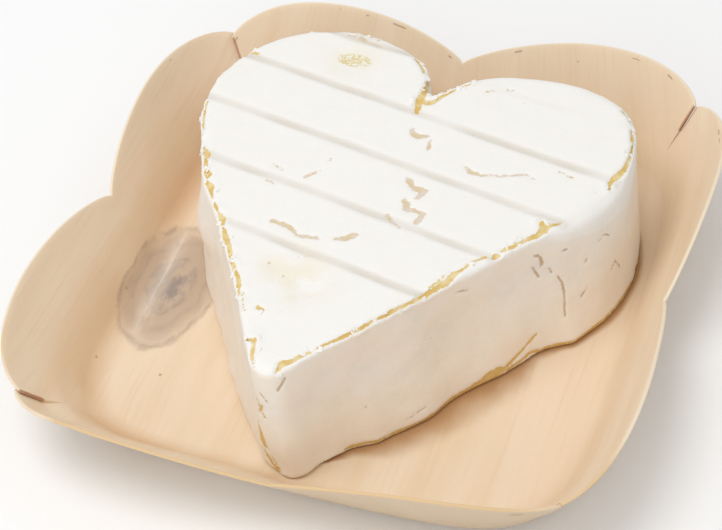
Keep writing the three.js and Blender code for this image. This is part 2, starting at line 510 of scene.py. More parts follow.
# soft pushes of the whole body: centre x, y, z, reach across and up, and the move in x and y, in mm
bodyPushes = (
    (-37, -4, 18, 15, 40, -1.7, -0.7),
    (-38, -9, 21, 7, 8, -1.6, -1.1),
    (-6, 43, 20, 8, 40, 1.5, 1.4),
    (-18, 52, 20, 12, 40, 0, 0.7),
    (21, 51, 20, 12, 40, 0, -2.0),
    (44, 42, 20, 10, 40, 1.0, 1.0),
    (27, -18, 14, 9, 12, -1.3, 0.8),
    (35, -5, 8, 6, 10, 0.9, -0.6),
)


def heartOutline(shape):
    # evenly spaced points, outward normals and distance from the tip, - on the left
    radius = shape["width"] / 2 + shape["cleftDepth"]
    radius -= math.sqrt(shape["width"] * shape["cleftDepth"])
    lobeX = shape["width"] / 2 - radius
    lobeY = shape["middleY"] + shape["length"] / 2 - radius
    tipY = shape["middleY"] - shape["length"] / 2 + shape["tipRadius"]
    flank = math.atan2(lobeX, lobeY - tipY)
    flank += math.asin((radius - shape["tipRadius"]) / math.hypot(lobeX, lobeY - tipY))
    cleftY = lobeY + math.sqrt((radius + shape["cleftRadius"]) ** 2 - lobeX ** 2)
    cleft = math.atan2(cleftY - lobeY, lobeX)
    arcs = []
    for x, y, arcRadius, start, end in (
        (0, tipY, shape["tipRadius"], -math.pi / 2, -flank),
        (lobeX, lobeY, radius, -flank, math.pi - cleft),
        (0, cleftY, shape["cleftRadius"], -cleft, -math.pi / 2),
    ):
        turn = np.linspace(start, end, 200)
        arcs.append(np.stack([x + arcRadius * np.cos(turn), y + arcRadius * np.sin(turn)], 1))
    right = np.vstack(arcs)
    ring = np.vstack([right[::-1] * [-1, 1], right[1:]])
    along = np.concatenate([[0], np.cumsum(np.hypot(*np.diff(ring, axis=0).T))])
    even = np.linspace(0, along[-1], shape["outlineSteps"], endpoint=False)
    points = np.stack([np.interp(even, along, ring[:, 0]), np.interp(even, along, ring[:, 1])], 1)
    tangent = np.roll(points, -1, 0) - np.roll(points, 1, 0)
    normals = np.stack([tangent[:, 1], -tangent[:, 0]], 1)
    normals /= np.linalg.norm(normals, axis=1)[:, None]
    return {"points": points, "normals": normals, "along": even - along[-1] / 2}


def alongTable(along, table):
    # a table's value in mm at each place along the outline
    places, values = np.array(table).T * mm
    return np.interp(along, places, values)


def makeCheeseBody(shape, outline):
    low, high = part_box("cheese")
    thickness = high.z - low.z
    points, normals = outline["points"], outline["normals"]
    flatPoints = np.column_stack([points, np.zeros(len(points))])
    spread = alongTable(outline["along"], footOffsets)
    spread += shape["footWander"] * noiseAt(flatPoints, shape["footWanderSize"], 3)
    topRound = alongTable(outline["along"], edgeRounds)
    rings = []
    for step in range(shape["levels"] + 1):
        height = thickness * (1 - math.cos(math.pi * step / shape["levels"])) / 2
        fromTop = np.minimum(thickness - height, topRound)
        inset = topRound - np.sqrt(topRound ** 2 - (topRound - fromTop) ** 2)
        fromBase = min(height, shape["baseRound"])
        inset += shape["baseRound"]
        inset -= math.sqrt(shape["baseRound"] ** 2 - (shape["baseRound"] - fromBase) ** 2)
        sag = spread * (1 - height / thickness) ** shape["sagPower"]
        ring = points + normals * (sag - inset)[:, None]
        rings += [(x, y, low.z + height) for x, y in ring]
    steps = len(points)
    last = steps * shape["levels"]
    faces = [tuple(reversed(range(steps))), tuple(range(last, last + steps))]
    for a in range(0, last, steps):
        for i in range(steps):
            j = (i + 1) % steps
            faces.append((a + i, a + j, a + steps + j, a + steps + i))
    mesh = bpy.data.meshes.new("heartCheese")
    mesh.from_pydata(rings, [], faces)
    cheese = linkMesh("heartCheese", mesh)
    remesh = cheese.modifiers.new("remesh", "REMESH")
    remesh.mode = "VOXEL"
    remesh.voxel_size = shape["voxel"]
    soften = cheese.modifiers.new("soften", "SMOOTH")
    soften.iterations = 3
    bakeModifiers(cheese)
    return cheese


def nearestOnOutline(points, outline):
    # distance along the outline and inwards from it, worked out in batches to spare memory
    along, inset = np.empty(len(points)), np.empty(len(points))
    batch = 4000
    reach = 0.5 * mm
    flat = points[:, :2]
    for start in range(0, len(flat), batch):
        part = flat[start:start + batch]
        gap = ((part[:, None, :] - outline["points"][None, :, :]) ** 2).sum(2)
        near = gap.argmin(1)
        offset = part - outline["points"][near]
        normal = outline["normals"][near]
        inset[start:start + batch] = -(offset * normal).sum(1)
        step = offset[:, 1] * normal[:, 0] - offset[:, 0] * normal[:, 1]
        along[start:start + batch] = outline["along"][near] + np.clip(step, -reach, reach)
    return along, inset


strokeReach = 5        # mm round a stroke that are looked at
farOutside = -9.0      # mm, where no stroke is near


def strokeField(places, strokes):
    # how far, in mm, each place lies inside the nearest stroke; negative outside.
    # A stroke is a row of (first, second, half width) knots in mm.
    field = np.full(len(places), farOutside)
    spots = places / mm
    for stroke in strokes:
        knots = np.array(stroke, float)
        if len(knots) == 1:
            knots = np.vstack([knots, knots])
        for a, b in zip(knots[:-1], knots[1:]):
            lowest = np.minimum(a, b)[:2] - strokeReach
            highest = np.maximum(a, b)[:2] + strokeReach
            close = np.all((spots > lowest) & (spots < highest), axis=1)
            part = spots[close]
            arm = b[:2] - a[:2]
            share = np.clip(((part - a[:2]) @ arm) / max(arm @ arm, 1e-9), 0, 1)
            gap = np.linalg.norm(part - a[:2] - share[:, None] * arm, axis=1)
            inside = a[2] + (b[2] - a[2]) * share - gap
            field[close] = np.maximum(field[close], inside)
    return field


# ragged splits of the rind along the top edge: mm from the tip along the outline (- is the left
# side), mm in from the edge (- is down the side), and half width
rimSplits = (
    ((-69, 0.1, 0.33), (-66.5, 0.9, 1.04), (-65, 0.5, 0.44)),
    ((-64, 0.3, 0.91), (-62.4, 0.5, 0.44)),
    ((-61.2, 0.1, 0.78), (-59.8, 0.8, 0.91), (-59, 0.2, 0.33)),
    ((-57.6, 0, 0.55), (-56, 0.7, 1.04), (-54.2, 0.3, 0.55), (-52.5, 0.1, 0.33)),
    ((-51, -0.2, 0.44), (-48.8, 0.1, 0.55)),
    ((-47.6, 0.1, 0.55), (-45.8, 0.6, 1.04), (-44, 0.4, 0.55)),
    ((-42.6, 0.2, 0.55), (-40, 0.1, 1.04), (-38.4, 0.3, 0.78)),
    ((-37, 0.5, 0.78), (-34.4, 0.3, 0.55)),
    ((-33, 0.1, 0.55), (-31, 0.5, 0.78), (-30, 0.4, 0.33)),
    ((-29.6, 0.9, 0.3), (-27, 1.1, 0.6), (-25, 0.7, 0.8), (-23, 0.1, 0.4)),
    ((-23, 1.7, 0.35), (-20, 1, 0.2), (-18, 1.2, 0.25)),
    ((-18, 4, 0.3), (-17, 4.8, 0.45)),
    ((-10, 0.3, 0.3), (-9.3, 2.1, 0.4), (-7, 1.2, 0.5), (-5, 0.3, 0.6), (-3, -0.6, 0.3)),
    ((3, -0.6, 0.3), (5, 1.3, 0.9), (6.5, 0.6, 0.5), (9, 0.8, 0.5), (11, 0.6, 0.5)),
    ((12.5, 0.6, 0.2), (16, 0.5, 0.3)),
    ((16, 0.4, 0.39), (20, 0.1, 0.55), (23, 0, 0.47), (26, 0.3, 0.39), (29, 0, 0.55), (30.5, 0.3, 0.78),
     (32, 0.2, 0.7), (35, 0, 0.47), (38, -0.2, 0.78), (41, 0.2, 0.7), (43.5, 0.4, 1.01)),
    ((39, 1.4, 0.23), (41.5, 1.6, 0.23), (44, 2.4, 0.23)),
    ((44.5, 0.8, 0.86), (46, 1.6, 0.62), (48, 1.7, 0.31), (50, 2.3, 0.23)),
    ((51, 2.4, 0.25), (54, 2, 0.3)),
    ((55.5, 0.9, 0.8), (56.3, 0.8, 0.7)),
    ((57.5, 1.6, 0.4), (60, 1.2, 0.6), (62.5, 1.2, 0.5), (66, 0.8, 0.7), (68, 1.2, 1)),
    ((68, 1.3, 0.8), (69, 4.1, 0.35)),
    ((68, 1.3, 0.8), (70, 1.6, 0.5), (72.5, 0.5, 0.2)),
    ((87, 1.2, 0.3), (88.5, 2.2, 0.5), (90, 2.2, 0.5), (91.5, 1.4, 0.9), (94, 0.8, 0.7), (98, 0.3, 0.5)),
    ((98.5, 0.2, 0.5), (102, 0, 0.3)),
    ((103, 0.1, 0.6), (106, 0.3, 0.4)),
    ((109, -0.3, 0.35), (113, 0.2, 0.5)),
    ((-74, -0.1, 0.35), (-79, 0.4, 0.5), (-85, 0.9, 0.3)),
    ((-94, -0.2, 0.3), (-98, 0, 0.35), (-102, 0.3, 0.25)),
    ((-105, 0, 0.4), (-106, 3, 0.45)),
    ((-122, 0.3, 0.3), (-126, 0.5, 0.45)),
    ((-134, 0.3, 0.6), (-139, 0.4, 0.5)),
    ((-150, 0.5, 0.3), (-155, 0.5, 0.4)),
)

# splits in the cleft and scars on the top face: x, y and half width in mm
cleftSplit = (
    ((-3.2, 38.6, 0.4), (-2.0, 34.8, 0.6), (-1.7, 32.2, 0.9), (-1.2, 30.4, 0.8), (-0.6, 28.2, 0.4)),
    ((-1.2, 31.2, 0.9), (1.4, 32.2, 0.6), (2.6, 34.6, 0.5), (5.0, 38.6, 0.2), (7.4, 41.4, 0.25)),
    ((-7.6, 46.6, 0.5), (-4.8, 42.6, 0.25)),
)
topScars = (
    ((0.6, 23.6, 0.35), (1.2, 21.6, 0.8), (3.0, 20.9, 0.8), (5.0, 21.8, 0.5)),
    ((6.0, 20.6, 0.4), (6.6, 17.8, 0.5)),
    ((6.3, 7.8, 0.7), (8.2, 5.8, 0.8), (11.0, 5.4, 0.9), (10.4, 3.4, 0.6)),
    ((7.8, 2.2, 0.5), (9.6, -0.6, 1.0), (10.8, -0.4, 0.5), (13.6, -0.8, 0.7), (13.0, -3.6, 0.7)),
    ((6.2, -3.8, 0.6), (10.5, -6.3, 0.25)),
    ((16.2, 15.7, 0.4), (18.0, 14.2, 0.6), (20.6, 13.9, 0.35), (24.8, 15.0, 0.3), (29.8, 17.2, 0.35),
     (32.2, 16.4, 0.2)),
    ((36.4, 20.1, 0.25), (39.7, 19.3, 0.3)),
    ((-27.0, 48.0, 0.25), (-23.5, 47.4, 0.5), (-17.8, 45.9, 0.5)),
    ((-23.4, 3.1, 0.25), (-20.9, 2.1, 0.45)),
    ((-15.6, 1.2, 0.5), (-13.1, 4.1, 0.25)),
    ((-12.8, 7.0, 0.2), (-12.1, 8.7, 0.3)),
    ((-22.9, -2.0, 0.25), (-20.3, -2.4, 0.3)),
    ((-16.4, -13.0, 0.5), (-12.6, -13.3, 0.7), (-9.4, -15.2, 0.4), (-4.9, -14.6, 0.6)),
    ((-1.4, -13.6, 0.5), (0.6, -12.9, 0.8), (2.0, -11.4, 0.9), (2.6, -10.8, 0.3)),
    ((3.0, 9.7, 0.28),), ((20.3, 7.0, 0.4),), ((45.7, 16.8, 0.25),), ((21.3, 39.0, 0.3),),
    ((-3.2, -35.9, 0.3),),
    ((12.0, 39.8, 0.4), (13.6, 40.9, 0.3)), ((16.2, 42.2, 0.35), (17.4, 42.6, 0.3)),
    ((-6.6, -20.6, 0.2), (-4.6, -19.4, 0.15)), ((-11.8, -24.0, 0.4),), ((-7.2, -26.6, 0.4),),
)

# scratches on the side: mm along from the tip, mm above the base, half width
sideScars = (
    ((64.2, 27.4, 0.25), (65.4, 26.8, 0.35)), ((65.6, 26.2, 0.3), (66, 24.4, 0.4), (65.4, 23.6, 0.2)),
    ((63.6, 24.4, 0.2), (64.2, 22.6, 0.32), (64.8, 21, 0.2)), ((67.4, 22.4, 0.2), (67.8, 21, 0.28)),
    ((69, 19.4, 0.2), (69.8, 17, 0.28), (70, 14, 0.3), (69.6, 11, 0.28), (69.2, 8, 0.15)),
    ((70, 25.6, 0.15), (72, 25.2, 0.22)), ((76, 19, 0.15), (77, 19.8, 0.22)),
    ((74, 11, 0.35), (75.6, 12.4, 0.15)), ((83, 12, 0.25), (84.5, 13.2, 0.25), (86, 10, 0.2)),
    ((80, 22, 0.12), (82, 23, 0.18), (83.5, 21.6, 0.1)), ((45, 28, 0.15), (48, 27.2, 0.32)),
    ((2.6, 26, 0.25), (4.6, 29, 0.3)), ((-1.5, 24, 0.2), (0, 22, 0.3)),
    ((28, 3, 0.12), (34, 4.2, 0.12)), ((20, 11, 0.3),), ((33, 17, 0.2),), ((38, 19, 0.15),),
)

# splits along the foot and at the tip, in the same measures
baseSplits = (
    ((14, 0.9, 0.3), (18, 1.0, 0.5), (22, 0.7, 0.4), (26, 0.7, 0.55), (31, 0.7, 0.4), (34, 0.8, 0.5)),
    ((35, 0.7, 0.5), (40, 0.8, 0.6), (44, 0.8, 0.6), (47, 1.0, 0.9), (49.5, 1.5, 1.5), (51.5, 1.7, 1.5),
     (53, 1.8, 0.5)),
    ((53, 1.8, 0.6), (55, 2.6, 0.45), (57, 3.4, 0.5), (59, 4.4, 0.35), (61, 5.6, 0.5), (62.5, 6.4, 0.2)),
    ((54, 1.0, 0.5), (57, 1.2, 0.4), (60, 1.8, 0.5), (62, 1.1, 0.5)),
    ((62, 0.8, 0.45), (66, 0.8, 0.6), (70, 0.8, 0.5), (76, 0.8, 0.6), (82, 0.9, 0.45), (90, 1.0, 0.55)),
    ((94, 1.0, 0.5), (98, 3, 0.3), (99, 6, 0.2)),
    ((-12, 0.5, 0.3), (-22, 0.4, 0.2)), ((-34, 0.5, 0.3), (-44, 0.5, 0.2)),
    ((-3.4, 21, 0.2), (-2.6, 18.5, 0.4), (-3.2, 16.4, 0.3)),
    ((-1.6, 20, 0.2), (-2.4, 18, 0.35), (-1.2, 16.5, 0.3)),
    ((-4.4, 14.5, 0.15), (-4.2, 12, 0.3), (-3.6, 9.5, 1.0), (-2.8, 7.5, 0.9), (-1.6, 6.2, 0.3)),
    ((-3.0, 5.2, 0.2), (-2.0, 3.2, 0.6), (-0.8, 1.4, 0.6), (0.2, 0.4, 0.4)),
    ((-1.0, 4.6, 0.2), (0.4, 1.6, 0.3)),
)

# how far in mm the painted contact shadow beside the cheese's foot reaches into the wood, at places along
# its outline
contactShadowReaches = (
    (-163, 0.4), (8, 0.4), (14, 2), (21, 6.5), (45, 8), (56, 8), (62, 3), (68, 1.6), (84, 1.6),
    (92, 1.8), (108, 1.2), (125, 0.4), (163, 0.4),
)
noShadowUnder = 0.6 * mm      # a shorter reach than this leaves the wood without painted shadow

# how far in mm the bloom of the top reaches down the side, at the same places
bloomReaches = ((66, 0), (72, 3.2), (78, 5), (84, 6), (92, 6), (100, 4), (110, 0))

# soft hollows in the top: x, y, reach and depth in mm
topDimples = (
    (-5, -26, 6, 0.5), (-11, -24, 3, 0.35), (-1, -29, 4, 0.3), (-21.5, 40, 5, 0.4), (-7, -20, 3, 0.25),
)

rackMarks = {
    "turn": -8,
    "first": -19.45 * mm,
    "pitch": 15.8 * mm,
    "count": 5,
    "halfWidth": 1.05 * mm,
    "depth": 0.36 * mm,
    "wander": 0.25 * mm,
    "wanderSize": 12 * mm,
    "patchSize": 11 * mm,
    "strength": (0.74, 0.75),           # its mean, and how much it varies
    "weakest": 0.3,
    "lastFade": 0.85,                   # the last mark fades towards the right
    "lastFadeFrom": (2 * mm, 10 * mm),
}

rindRelief = {
    "hill": 0.42 * mm,          # height of each kind of unevenness, and its size across
    "hillSize": 17 * mm,
    "sideHill": 0.26 * mm,
    "sideHillSize": 8 * mm,
    "lump": 0.15 * mm,
    "lumpSize": 5 * mm,
    "fluff": 0.05 * mm,
    "fluffSize": 1.9 * mm,
    "splitDepth": 0.5 * mm,
    "scarDepth": 0.22 * mm,
    "scratchDepth": 0.2 * mm,
    "baseSplitDepth": 0.3 * mm,
    "lip": 0.34 * mm,           # how far the rind curls up beside a split
    "lipSize": 2.2 * mm,
    "calmBase": 1.2 * mm,       # the unevenness starts over this height
    "netPlace": (-21.5 * mm, 40 * mm),
    "netSize": (5.2 * mm, 2.6 * mm),
    "deepDimple": 0.4 * mm,     # stained fully
    "rimZone": 9 * mm,          # from the top's edge, either way
    "cleftZone": 3 * mm,        # depth under the top down to which the cleft's splits reach
    "scarZone": 1.5 * mm,
    "scratchFrom": 2 * mm,      # depth under the top from which the side's marks start
    "baseSplitFrom": 9 * mm,
    "flakeSize": 3 * mm,        # of the patches in which flakes stand
    "fullShadowReach": 5 * mm,          # the painted shadow's reach at which the foot's own edge, partly painted contact shade, is darkest
}


def rackMarkField(points, marks):
    # 0 to 1: how deep in a draining rack's mark each point lies
    turn = math.radians(marks["turn"])
    plan = points * [1, 1, 0]
    wander = noiseAt(plan, marks["wanderSize"], 11) * marks["wander"]
    across = points[:, 1] * math.cos(turn) - points[:, 0] * math.sin(turn) + wander
    mean, change = marks["strength"]
    strength = mean + change * noiseAt(plan, marks["patchSize"], 12)
    lastFade = 1 - marks["lastFade"] * smooth(*marks["lastFadeFrom"], points[:, 0])
    field = np.zeros(len(points))
    for i in range(marks["count"]):
        middle = (marks["first"] + i * marks["pitch"]) * math.cos(turn)
        gap = np.abs(across - middle) / marks["halfWidth"]
        fade = lastFade if i == marks["count"] - 1 else 1
        field = np.maximum(field, (1 - smooth(0.45, 1.35, gap)) * fade)
    return field * np.clip(strength, marks["weakest"], 1)


def pushBody(points, floorHeight):
    for x, y, z, reach, reachUp, moveX, moveY in bodyPushes:
        gap = ((points[:, 0] - x * mm) ** 2 + (points[:, 1] - y * mm) ** 2) / (reach * mm) ** 2
        gap += ((points[:, 2] - floorHeight - z * mm) / (reachUp * mm)) ** 2
        points[:, :2] += np.exp(-gap)[:, None] * np.array([[moveX, moveY]]) * mm
    points[:, 2] = np.maximum(points[:, 2], floorHeight)


def carveCheese(cheese, outline, relief, marks):
    low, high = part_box("cheese")
    points = vertexArray(cheese.data)
    normals = normalArray(cheese.data)
    along, inset = nearestOnOutline(points, outline)
    drop = high.z - points[:, 2]
    edge = np.maximum(inset, 0) - drop          # + on the top face, - down the side
    above = points[:, 2] - low.z
    onTop = smooth(2.2 * mm, 0.9 * mm, drop) * smooth(-0.2 * mm, 0.8 * mm, inset)
    onSide = 1 - onTop

    # every table of strokes has its own part of the surface
    plan = points[:, :2]
    onRim = np.stack([along, edge], 1)
    onWall = np.stack([along, above], 1)
    rim = np.where(np.abs(edge) < relief["rimZone"], strokeField(onRim, rimSplits), farOutside)
    cleft = np.where(drop < relief["cleftZone"], strokeField(plan, cleftSplit), farOutside)
    rim = np.maximum(rim, cleft)
    scar = np.where(drop < relief["scarZone"], strokeField(plan, topScars), farOutside)
    scratch = np.where(drop > relief["scratchFrom"], strokeField(onWall, sideScars), farOutside)
    base = np.where(drop > relief["baseSplitFrom"], strokeField(onWall, baseSplits), farOutside)
    mark = rackMarkField(points, marks) * onTop

    # soft hills and hollows, then the fine fluff of the bloom
    rough = relief["hill"] * noiseAt(points, relief["hillSize"], 1) * (0.35 + 0.65 * onSide)
    rough += relief["sideHill"] * noiseAt(points, relief["sideHillSize"], 9) * onSide
    rough += relief["lump"] * noiseAt(points, relief["lumpSize"], 2) * (0.5 + 0.5 * onSide)
    rough += relief["fluff"] * noiseAt(points, relief["fluffSize"], 4)
    dimple = np.zeros(len(points))
    for x, y, size, depth in topDimples:
        gap = np.hypot(points[:, 0] - x * mm, points[:, 1] - y * mm) / (size * mm)
        dimple += depth * mm * np.exp(-gap ** 2) * onTop
    fromNet = np.linalg.norm((plan - relief["netPlace"]) / np.array(relief["netSize"]), axis=1)
    netted = (1 - smooth(0.3, 1.2, fromNet)) * onTop
    groove = relief["splitDepth"] * smooth(-0.35, 0.35, rim)
    groove += relief["scarDepth"] * smooth(-0.3, 0.3, scar)
    groove += relief["scratchDepth"] * smooth(-0.3, 0.2, scratch)
    groove += relief["baseSplitDepth"] * smooth(-0.4, 0.3, base)
    lip = relief["lip"] * smooth(-1.5, -0.8, rim) * smooth(-0.15, -0.6, rim)
    lip *= np.clip(noiseAt(points, relief["lipSize"], 6) + 0.35, 0, 1)
    outward = rough - dimple - groove + lip - marks["depth"] * mark
    outward *= smooth(0, relief["calmBase"], above)
    points += normals * outward[:, None]
    pushBody(points, low.z)
    cheese.data.vertices.foreach_set("co", points.astype(np.float32).ravel())
    cheese.data.update()

    # what the finish and the flakes need to know of each place
    flaky = smooth(-0.9, -0.4, rim) * smooth(0.1, -0.3, rim) * smooth(-2.5 * mm, -0.8 * mm, edge)
    flaky *= noiseAt(points, relief["flakeSize"], 8) > -0.05
    # share of the painted contact shadow's reach, used for painted shade at the foot's edge
    shadowShare = np.clip(alongTable(along, contactShadowReaches) / relief["fullShadowReach"], 0, 1)
    for name, values in (
        ("rimSplit", rim), ("topScar", scar), ("sideScar", scratch), ("baseSplit", base),
        ("rackMark", mark), ("edge", edge / mm), ("bloomReach", alongTable(along, bloomReaches) / mm),
        ("stain", np.clip(dimple / relief["deepDimple"], 0, 1)), ("netted", netted),
        ("flaky", flaky), ("aboveBase", above / mm), ("footShadowShare", shadowShare),
    ):
        storeFloats(cheese.data, name, values)
    cheese.data.polygons.foreach_set("use_smooth", np.ones(len(cheese.data.polygons), dtype=bool))


def markTray(tray, outline):
    # where each point of the tray lies between the cheese's foot, 0, and the end of the painted contact
    # shadow, 1;
    # 2 where no shadow is painted
    points = vertexArray(tray.data)
    along, inset = nearestOnOutline(points, outline)
    low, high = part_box("cheese")
    drop = np.clip(1 - (points[:, 2] - low.z) / (high.z - low.z), 0, 1)
    gap = -inset - alongTable(along, footOffsets) * drop ** cheeseShape["sagPower"]
    reach = alongTable(along, contactShadowReaches)
    storeFloats(tray.data, "contactShadowFade", np.where(reach < noShadowUnder, 2, gap / reach))
    # how far each face looks down, for painted shade on the walls' outer faces
    storeFloats(tray.data, "outer", smooth(0, -0.4, normalArray(tray.data)[:, 2]))


def newMaterial(name):
    material = bpy.data.materials.new(name)
    material.use_nodes = True
    return material, material.node_tree, material.node_tree.nodes["Principled BSDF"]


def attributeWire(tree, name):
    node = tree.nodes.new("ShaderNodeAttribute")
    node.attribute_name = name
    return Wire(tree, node.outputs["Fac"])


def noiseWire(tree, vector, size, detail=2, roughness=0.5):
    node = tree.nodes.new("ShaderNodeTexNoise")
    node.inputs["Scale"].default_value = 1 / size
    node.inputs["Detail"].default_value = detail
    node.inputs["Roughness"].default_value = roughness
    tree.links.new(vector, node.inputs["Vector"])
    return Wire(tree, node.outputs[0])


def scaledVector(tree, vector, scale):
    node = tree.nodes.new("ShaderNodeMapping")
    node.inputs["Scale"].default_value = scale
    tree.links.new(vector, node.inputs["Vector"])
    return node.outputs[0]


def mixed(tree, amount, first, second):
    # a colour between two: each is an (r, g, b) or another mix's output
    node = tree.nodes.new("ShaderNodeMix")
    node.data_type = "RGBA"
    plug(tree, amount, node.inputs["Factor"])
    for value, socket in ((first, node.inputs["A"]), (second, node.inputs["B"])):
        if isinstance(value, tuple):
            socket.default_value = value + (1,)
        else:
            tree.links.new(value, socket)
    return node.outputs["Result"]


def objectCoordinates(tree):
    return tree.nodes.new("ShaderNodeTexCoord").outputs["Object"]


def addBump(tree, shader, height, distance, strength):
    bump = tree.nodes.new("ShaderNodeBump")
    bump.inputs["Distance"].default_value = distance
    bump.inputs["Strength"].default_value = strength
    plug(tree, height, bump.inputs["Height"])
    tree.links.new(bump.outputs["Normal"], shader.inputs["Normal"])


rindLook = {
    "bloom": (0.9, 0.88, 0.845),
    "bloomShade": (0.88, 0.855, 0.8),
    "side": (0.885, 0.835, 0.765),
    "sideWarm": (0.89, 0.81, 0.71),
    "sideGrey": (0.79, 0.755, 0.71),
    # rack marks: the rind's greyer tone there, with painted shade of the groove
    "mark": (0.71, 0.66, 0.58),
    "split": (0.72, 0.5, 0.17),
    "splitPale": (0.8, 0.66, 0.36),
    "scar": (0.55, 0.4, 0.26),
    "topScar": (0.67, 0.51, 0.28),
    "topScarPale": (0.7, 0.6, 0.5),
    "base": (0.66, 0.42, 0.09),
    # the foot's edge: the rind's ochre line there, darkened further as painted contact shade
    "baseEdge": (0.62, 0.4, 0.2),
    "stain": (0.86, 0.79, 0.62),
    "net": (0.72, 0.6, 0.27),
    "markAmount": 0.85,
    "netAmount": 0.9,
    "scarAmount": 0.8,
    "scratchAmount": 0.85,
    "baseAmount": 0.9,
    "baseEdgeAmount": 0.8,
    "roughness": 0.82,
    "shine": 0.25,
    "fluffSize": 0.7 * mm,
    "fluffHeight": 0.25 * mm,
}


def makeRindMaterial(look):
    material, tree, shader = newMaterial("whiteRind")
    where = objectCoordinates(tree)
    edge = attributeWire(tree, "edge")
    above = attributeWire(tree, "aboveBase")
    ragged = noiseWire(tree, where, 1.3 * mm, 3, 0.6) - 0.5
    fine = noiseWire(tree, where, 0.5 * mm, 2) - 0.5
    broad = noiseWire(tree, where, 15 * mm, 2)
    blotch = noiseWire(tree, where, 7 * mm, 3)

    top = mixed(tree, (blotch - 0.4) * 1.6, look["bloom"], look["bloomShade"])
    # rack marks: greyer rind, partly painted groove shade
    top = mixed(tree, attributeWire(tree, "rackMark") * look["markAmount"], top, look["mark"])
    side = mixed(tree, broad.eased(0.35, 0.65), look["side"], look["sideWarm"])
    side = mixed(tree, (blotch.eased(0.5, 0.75) * above.eased(6, 24)) * 0.5, side, look["sideGrey"])
    under = (edge + attributeWire(tree, "bloomReach") + ragged * 1.6).eased(-0.4, -1.6)
    colour = mixed(tree, under, top, side)

    stain = attributeWire(tree, "stain") * (blotch.eased(0.35, 0.6) * 0.6)
    colour = mixed(tree, stain, colour, look["stain"])
    net = (noiseWire(tree, where, 1.1 * mm, 2) - 0.5).math("ABSOLUTE").eased(0.09, 0.03)
    net = attributeWire(tree, "netted").eased(0.25, 0.6) * net
    colour = mixed(tree, net * look["netAmount"], colour, look["net"])
    patch = noiseWire(tree, where, 2 * mm).eased(0.4, 0.6)
    scarShade = mixed(tree, patch, look["topScar"], look["topScarPale"])
    scar = (attributeWire(tree, "topScar") + ragged * 1.3 + fine * 0.7).eased(-0.14, 0.24)
    colour = mixed(tree, scar * look["scarAmount"], colour, scarShade)
    scratch = (attributeWire(tree, "sideScar") + ragged * 0.5 + fine * 0.2).eased(-0.16, 0.12)
    colour = mixed(tree, scratch * look["scratchAmount"], colour, look["scar"])
    patch = noiseWire(tree, where, 2.5 * mm).eased(0.4, 0.62)
    splitShade = mixed(tree, patch, look["split"], look["splitPale"])
    split = (attributeWire(tree, "rimSplit") + ragged * 0.9 + fine * 0.4).eased(-0.16, 0)
    colour = mixed(tree, split, colour, splitShade)
    baseShade = mixed(tree, fine.eased(-0.2, 0.2) * 0.5, look["base"], splitShade)
    base = (attributeWire(tree, "baseSplit") + ragged * 1.1 + fine * 0.6).eased(-0.1, 0.14)
    colour = mixed(tree, base * look["baseAmount"], colour, baseShade)
    # the foot's edge: the rind's ochre line, with painted contact shade where the tray's painted shadow
    # reaches
    foot = (above + ragged * 1.2 + (broad - 0.5) * 2).eased(0.9, 0.2) * attributeWire(tree, "footShadowShare")
    colour = mixed(tree, foot * look["baseEdgeAmount"], colour, look["baseEdge"])
    tree.links.new(colour, shader.inputs["Base Color"])
    shader.inputs["Roughness"].default_value = look["roughness"]
    shader.inputs["Specular IOR Level"].default_value = look["shine"]
    fluff = noiseWire(tree, where, look["fluffSize"], 4, 0.65)
    addBump(tree, shader, fluff, look["fluffHeight"], 0.35)
    return material


veneerLook = {
    "pale": (0.86, 0.715, 0.54),
    "tan": (0.81, 0.635, 0.44),
    "pink": (0.855, 0.685, 0.51),
    "grain": (0.7, 0.5, 0.3),
    "cutEdge": (0.88, 0.75, 0.57),
    "cutTan": (0.74, 0.53, 0.3),
    # painted shade in the crease between floor and wall
    "crease": (0.72, 0.5, 0.31),
    # painted shade on the walls' down-facing outer faces
    "outer": (0.55, 0.43, 0.3),
    "knot": (0.3, 0.25, 0.24),
    "knotRing": (0.36, 0.27, 0.21),
    "knotHalo": (0.47, 0.35, 0.26),
    "knotLight": (0.88, 0.79, 0.68),
    # painted shadow in the gap of each corner slit
    "slit": (0.4, 0.15, 0.06),
    "contactShadow": (0.46, 0.235, 0.085),         # painted contact shadow in the wood beside the cheese's foot
    "crack": (0.4, 0.25, 0.14),
    "knotPlace": (-49 * mm, -8.5 * mm),     # on the flat sheet, along the tray's own axes
    "knotSize": (11.5 * mm, 19 * mm),       # out to its outer ring
    "knotRings": ((0.98, 0.09, 0.5), (0.7, 0.07, 0.22), (0.44, 0.06, 0.4)),     # size, width, amount
    "knotHaloAmount": 0.72,
    "knotHeartAmount": 0.8,
    "knotLightAmount": 0.4,
    "contactShadowAmount": 0.9,
    "slitAmount": 0.75,
    "speckAmount": 0.65,
    "dashAmount": 0.7,
    "outerAmount": 0.6,
    "dashFromRim": 1.3,         # mm
    "roughness": 0.62,
    "shine": 0.3,
    "grainHeight": 0.2 * mm,
}

# small dark specks in the wood: x, y, z and reach in mm
woodSpecks = (
    (-64.8, 49.5, 19.2, 0.6), (22.4, 68.8, 20.6, 0.5), (-37.3, -37.6, 1.4, 0.4),
    (-55.9, -19.1, 4.3, 0.4), (-52.6, -39.1, 3.3, 0.4), (56.5, -58, 19.5, 1.6), (31, -60, 9, 0.5),
)


